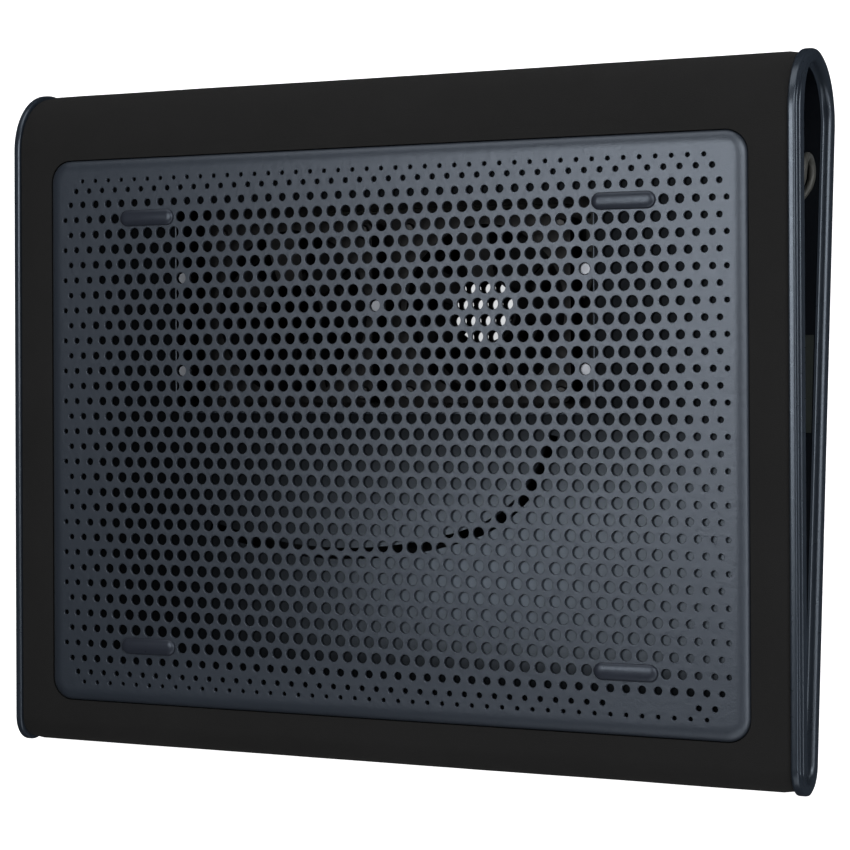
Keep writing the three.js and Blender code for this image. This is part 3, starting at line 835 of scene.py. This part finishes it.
def flat_sheet(lengths, half, hole):
    """The cover cut out flat: its points and faces, without those in the opening."""
    columns = 63
    xs = [-half + 2 * half * i / (columns - 1) for i in range(columns)]
    low_s, high_s = min(p.y for p in hole), max(p.y for p in hole)
    high_x = max(p.x for p in hole)
    points = list(hole)
    edges = loop_edges(0, len(hole))
    margin = 2.0
    for s in lengths:
        for x in xs:
            if not (abs(x) < high_x + margin and low_s - margin < s < high_s + margin):
                points.append(Vector((x, s)))
    first = len(points)
    total = lengths[-1]
    points += [Vector((-half, 0)), Vector((half, 0)), Vector((half, total)), Vector((-half, total))]
    edges += loop_edges(first, 4)
    flat_points, _, flat_faces, _, _, _ = delaunay_2d_cdt(points, edges, [], 1, 1e-4)
    kept = []
    for face in flat_faces:
        x = sum(flat_points[i].x for i in face) / len(face)
        s = sum(flat_points[i].y for i in face) / len(face)
        if not in_window(x, s, high_x, (high_s - low_s) / 2, (low_s + high_s) / 2):
            kept.append(face)
    return flat_points, kept


def thicken(flat_points, kept, total):
    """Faces of the cover's two sides and of the rims of its edges, but not across the seam."""
    count = len(flat_points)
    faces = [tuple(face) for face in kept]
    faces += [tuple(i + count for i in reversed(face)) for face in kept]
    sides = {}
    for face in kept:
        for a, b in zip(face, (*face[1:], face[0])):
            sides[(a, b)] = True
    for a, b in sides:
        on_seam = abs(flat_points[a].y - flat_points[b].y) < 1e-3 and (
            flat_points[a].y < 1e-3 or flat_points[a].y > total - 1e-3)
        if (b, a) not in sides and not on_seam:
            faces.append((b, a, a + count, b + count))
    return faces


def close_seam(made):
    edit = bmesh.new()
    edit.from_mesh(made.data)
    bmesh.ops.remove_doubles(edit, verts=edit.verts, dist=0.00002)
    loose = [v for v in edit.verts if not v.link_faces]
    bmesh.ops.delete(edit, geom=loose, context="VERTS")
    bmesh.ops.recalc_face_normals(edit, faces=edit.faces)
    edit.to_mesh(made.data)
    edit.free()


def make_skin():
    """The cover: cut out flat as a sheet with its window, then laid round the sleeve."""
    stations = sleeve_stations(6, 6)
    lengths = round_lengths(stations)
    total = lengths[-1]
    half = END_X - TRIM_WIDTH - GAP
    window = rounded_rect(PLATE_WIDTH + 2 * GAP, PLATE_DEPTH + 2 * GAP, PLATE_CORNER, PLATE_CENTRE_V, 6)
    rear_index = next(i for i, s in enumerate(stations) if s[3] == math.pi / 2 + SLOPE)
    hole = [Vector((u, lengths[rear_index] + (TRAY_V_AT_REAR - v))) for u, v in window]
    low_s, high_s = min(p.y for p in hole), max(p.y for p in hole)
    middle_s, high_x = (low_s + high_s) / 2, max(p.x for p in hole)
    flat_points, kept = flat_sheet(lengths, half, hole)
    outer, inner = [], []
    for p in flat_points:
        station = station_at(p.y, stations, lengths)
        edge = min(half - abs(p.x), 3.0) / 3.0
        tuck = SKIN_TUCK * (1 - edge) ** 2
        from_window = max(abs(p.x) - high_x, abs(p.y - middle_s) - (high_s - low_s) / 2)
        fade = max(0.0, min(1.0, from_window / 4))
        pinch = SKIN_PINCH * (1 - fade) ** 2
        seam = min(1.0, min(p.y, total - p.y) / 30)
        lift = skin_swell(p.x, p.y) * edge * fade * seam - tuck - pinch
        lift += SKIN_PUFF * edge * math.cos(station[3]) ** 2 - rear_dip(p.x, station[3])
        outer.append(sleeve_point(station, SKIN_INSET - lift, p.x))
        inner.append(sleeve_point(station, SKIN_INSET + SKIN_THICK, p.x))
    made = new_object("neoprene_cover", outer + inner, thicken(flat_points, kept, total), SKIN)
    close_seam(made)
    sharpen(made, 50)
    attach(made, "casing")
    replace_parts(made, "neoprene_skin")


make_skin()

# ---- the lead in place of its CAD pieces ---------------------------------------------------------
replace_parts(cable, "usb_lead_inner", "usb_lead_coil", "usb_lead_tail")


def curve_length(curve_object):
    evaluated = curve_object.evaluated_get(bpy.context.evaluated_depsgraph_get())
    return evaluated.data.splines[0].calc_length()


curve_length(cable)


# ---- floor and light -----------------------------------------------------------------------------
def make_floor():
    half = 6.0
    corners = [(-half, -half, 0), (half, -half, 0), (half, half, 0), (-half, half, 0)]
    material = new_material("floor_paper", (0.6, 0.6, 0.6), 0.9, Emission_Color=(1, 1, 1, 1),
                            Emission_Strength=1.0)
    graph = Graph(material)
    graph.mix_color(graph.noise(3, 2), (0.59, 0.59, 0.59), (0.61, 0.61, 0.61),
                    graph.shader.inputs["Base Color"])
    floor = new_object("floor", corners, [(0, 1, 2, 3)], material, smooth=False)
    floor.visible_glossy = False


def area_light(name, place, aim, size, radiance):
    """A softbox placed and aimed in the tray's axes; its radiance is 1 where white paper is 1."""
    data = bpy.data.lights.new(name, "AREA")
    data.shape = "RECTANGLE"
    data.size, data.size_y = size
    data.energy = radiance * math.pi * size[0] * size[1]
    light = bpy.data.objects.new(name, data)
    light.location = tray_point(*place)
    towards = tray_point(*aim) - light.location
    light.rotation_euler = towards.to_track_quat("-Z", "Y").to_euler()
    bpy.context.scene.collection.objects.link(light)


def make_world():
    """White to the camera only, so that the lights alone shape the object."""
    world = bpy.data.worlds.new("studio")
    bpy.context.scene.world = world
    world.use_nodes = True
    background = world.node_tree.nodes["Background"]
    background.inputs["Color"].default_value = (1, 1, 1, 1)
    background.inputs["Strength"].default_value = 1.0
    world.cycles_visibility.diffuse = False
    world.cycles_visibility.glossy = False


make_floor()
area_light("key", (-115, 205, 914), (0, 30, 0), (0.54, 0.36), 6.4)
area_light("wash_right", (900, 500, 900), (0, 0, 0), (0.8, 0.8), 4.0)
area_light("rim_right", (1100, -350, 650), (190, -20, 0), (1.0, 0.3), 3.5)
area_light("wash_rear", (-100, 1300, 500), (0, 0, 0), (1.4, 0.8), 1.6)
area_light("wash_left", (-1500, 100, -150), (0, 0, -20), (1.0, 0.5), 0.35)
area_light("wash_front", (300, -1100, 900), (0, 0, 0), (1.2, 0.8), 1.2)
make_world()
bpy.context.scene.view_settings.view_transform = "Standard"
